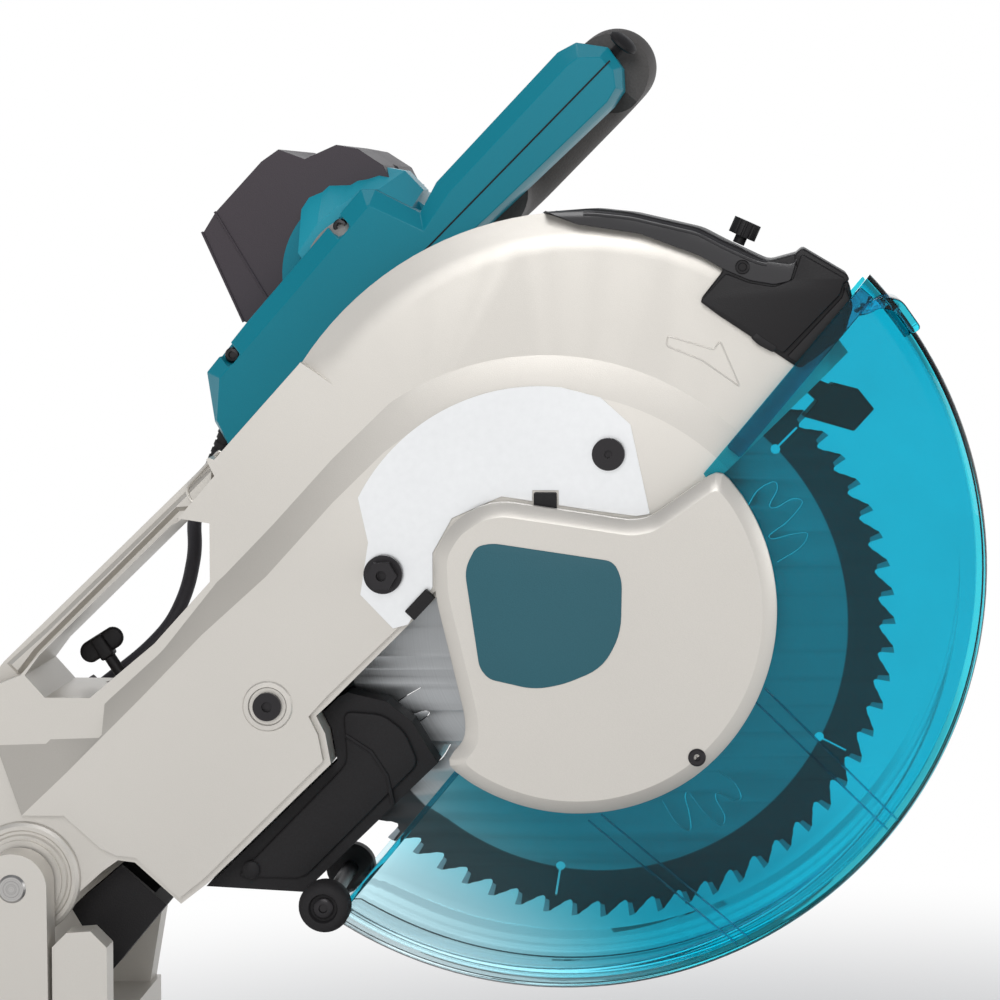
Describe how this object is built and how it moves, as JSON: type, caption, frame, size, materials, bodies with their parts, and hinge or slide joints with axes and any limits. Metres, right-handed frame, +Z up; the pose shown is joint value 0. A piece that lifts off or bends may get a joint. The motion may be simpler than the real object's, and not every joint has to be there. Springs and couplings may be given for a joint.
{
  "type": "sliding miter saw",
  "caption": "Dual-bevel sliding miter saw: a blade head on a sprung pivot over two rail slides, a turntable base with fences, and a tinted swinging blade guard.",
  "frame": {"origin": "on the turntable's axis, at the level the feet and the bench-bolt bosses stand on; the centre of the four bench-bolt holes", "axes": "+X towards the operator, along the rails; +Y to the operator's right; +Z up"},
  "size_m": [1.076, 0.62, 0.728],
  "materials": {
    "champagne_casting": "satin metallic paint over aluminium casting",
    "dark_casting": "satin paint over casting",
    "machined_casting": "machined",
    "rail_steel": "hard chromed",
    "bare_steel": "ground",
    "blade_steel": "ground and coated",
    "black_steel": "blackened",
    "teal_plastic": "fine grain moulding",
    "black_plastic": "fine grain moulding",
    "insert_plastic": "fine grain moulding",
    "guard_polycarbonate": "clear tinted moulding",
    "zinc_plate": "zinc plated",
    "black_rubber": "matte",
    "bronze": "sintered bronze",
    "carbon": "pressed carbon",
    "scale_plate": "printed plate"
  },
  "bodies": {
    "base": {"base_casting": "dark_casting", "base_bolts": "black_steel", "rubber_feet": "black_rubber", "fixed_fences": "machined_casting", "miter_scale": "scale_plate"},
    "turntable": {"turntable": "machined_casting", "turntable_frame": "machined_casting", "lower_bearings": "bronze", "kerf_boards": "black_plastic"},
    "lower_carriage": {"lower_rails": "rail_steel", "slide_bracket": "dark_casting", "bevel_bolt": "black_steel"},
    "bevel_arm": {"bevel_arm": "dark_casting", "upper_bearings": "bronze"},
    "upper_carriage": {"upper_rails": "rail_steel", "rail_bridge": "machined_casting", "head_clevis": "champagne_casting", "pivot_pin": "rail_steel", "return_spring": "bare_steel"},
    "head": {"upper_case": "champagne_casting", "centre_cover": "champagne_casting", "cover_insert": "insert_plastic", "link_plate": "zinc_plate", "guard_bumpers": "black_rubber", "case_bolts": "black_steel", "laser_housing": "black_plastic", "laser_module": "teal_plastic", "dust_ducting": "black_rubber", "drive_housing": "machined_casting", "drive_cover": "machined_casting", "drive_belt": "black_rubber", "shaft_bearings": "bare_steel", "stator": "bare_steel", "motor_housing": "teal_plastic", "carbon_brushes": "carbon", "motor_end_cover": "black_plastic", "handle_shell_left": "teal_plastic", "handle_shell_right": "teal_plastic", "grip": "black_rubber", "lead_fittings": "black_rubber", "power_lead": "black_rubber"},
    "blade": {"saw_blade": "blade_steel", "arbor": "bare_steel", "blade_flanges": "bare_steel", "blade_bolt": "bare_steel"},
    "rotor": {"rotor": "bare_steel"},
    "lower_guard": {"lower_guard": "guard_polycarbonate", "roller_pin": "rail_steel"},
    "guard_rollers": {"guard_rollers": "black_rubber"},
    "trigger": {"trigger": "black_plastic"},
    "lock_off_lever": {"lock_off_lever": "black_plastic"},
    "shaft_lock_button": {"shaft_lock_button": "black_plastic"},
    "laser_knob": {"laser_knob": "black_plastic"},
    "wing_screw": {"wing_screw": "black_plastic"},
    "stopper_pin": {"stopper_pin": "black_plastic"},
    "sliding_fence": {"sliding_fence": "machined_casting"},
    "fence_knob": {"fence_knob": "black_plastic"},
    "miter_lock_knob": {"miter_lock_knob": "black_plastic"},
    "detent_lever": {"detent_lever": "black_plastic"},
    "bevel_lever": {"bevel_lever": "black_plastic"}
  },
  "joints": [
    {"name": "miter_turn", "type": "hinge", "parent": "base", "child": "turntable", "pos_m": [0, 0, 0.1], "axis": [0, 0, -1], "range_deg": [-52, 52]},
    {"name": "lower_slide", "type": "slide", "parent": "turntable", "child": "lower_carriage", "axis": [1, 0, 0], "range_m": [0, 0.15]},
    {"name": "bevel_tilt", "type": "hinge", "parent": "lower_carriage", "child": "bevel_arm", "pos_m": [-0.44, 0, 0.1], "axis": [-1, 0, 0], "range_deg": [-45, 45]},
    {"name": "upper_slide", "type": "slide", "parent": "bevel_arm", "child": "upper_carriage", "axis": [1, 0, 0], "range_m": [0, 0.15]},
    {"name": "head_swing", "type": "hinge", "parent": "upper_carriage", "child": "head", "pos_m": [-0.373, 0, 0.3], "axis": [0, 1, 0], "range_deg": [0, 33], "stiffness_Nm_per_rad": 16, "springref_deg": -126.05},
    {"name": "guard_swing", "type": "hinge", "parent": "head", "child": "lower_guard", "pos_m": [-0.106, 0, 0.456], "axis": [0, 1, 0], "range_deg": [-121, 0]},
    {"name": "roller_spin", "type": "hinge", "parent": "lower_guard", "child": "guard_rollers", "pos_m": [-0.221, 0, 0.291], "axis": [0, 1, 0], "continuous": true},
    {"name": "blade_spin", "type": "hinge", "parent": "head", "child": "blade", "pos_m": [-0.09, 0, 0.422], "axis": [0, 1, 0], "continuous": true},
    {"name": "rotor_spin", "type": "hinge", "parent": "head", "child": "rotor", "pos_m": [-0.215, 0, 0.597], "axis": [0, 1, 0], "continuous": true},
    {"name": "trigger_pull", "type": "slide", "parent": "head", "child": "trigger", "axis": [0, 1, 0], "range_m": [0, 0.005], "stiffness_N_per_m": 600, "springref_m": -0.003},
    {"name": "lock_off_press", "type": "hinge", "parent": "head", "child": "lock_off_lever", "pos_m": [-0.082, 0.054, 0.719], "axis": [0, 1, 0], "range_deg": [0, 10], "stiffness_Nm_per_rad": 0.08, "springref_deg": -14.32},
    {"name": "shaft_lock_press", "type": "slide", "parent": "head", "child": "shaft_lock_button", "axis": [0, -1, 0], "range_m": [0, 0.005], "stiffness_N_per_m": 500, "springref_m": -0.003},
    {"name": "laser_adjust", "type": "hinge", "parent": "head", "child": "laser_knob", "pos_m": [-0.02, -0.016, 0.614], "axis": [0.4067, 0, 0.9135], "range_deg": [-180, 180]},
    {"name": "depth_screw_turn", "type": "hinge", "parent": "head", "child": "wing_screw", "pos_m": [-0.349, 0.01, 0.405], "axis": [0.5446, 0, -0.8387], "range_deg": [-180, 180]},
    {"name": "stopper_push", "type": "slide", "parent": "upper_carriage", "child": "stopper_pin", "axis": [0, 1, 0], "range_m": [-0.027, 0]},
    {"name": "fence_slide", "type": "slide", "parent": "base", "child": "sliding_fence", "axis": [0, 1, 0], "range_m": [-0.09, 0]},
    {"name": "fence_knob_turn", "type": "hinge", "parent": "base", "child": "fence_knob", "pos_m": [-0.02, -0.25, 0.138], "axis": [1, 0, 0], "range_deg": [-90, 90]},
    {"name": "miter_lock_turn", "type": "hinge", "parent": "turntable", "child": "miter_lock_knob", "pos_m": [0.3, 0, 0.048], "axis": [1, 0, 0], "range_deg": [-120, 120]},
    {"name": "detent_press", "type": "hinge", "parent": "turntable", "child": "detent_lever", "pos_m": [0.282, 0, 0.024], "axis": [0, 1, 0], "range_deg": [0, 5], "stiffness_Nm_per_rad": 0.6, "springref_deg": -8.59},
    {"name": "bevel_lock_turn", "type": "hinge", "parent": "lower_carriage", "child": "bevel_lever", "pos_m": [-0.556, 0, 0.1], "axis": [1, 0, 0], "range_deg": [-40, 0]}
  ],
  "couplings": [
    {"joint": "guard_swing", "follows": "head_swing", "ratio": -3.6364},
    {"joint": "rotor_spin", "follows": "blade_spin", "ratio": 2}
  ]
}
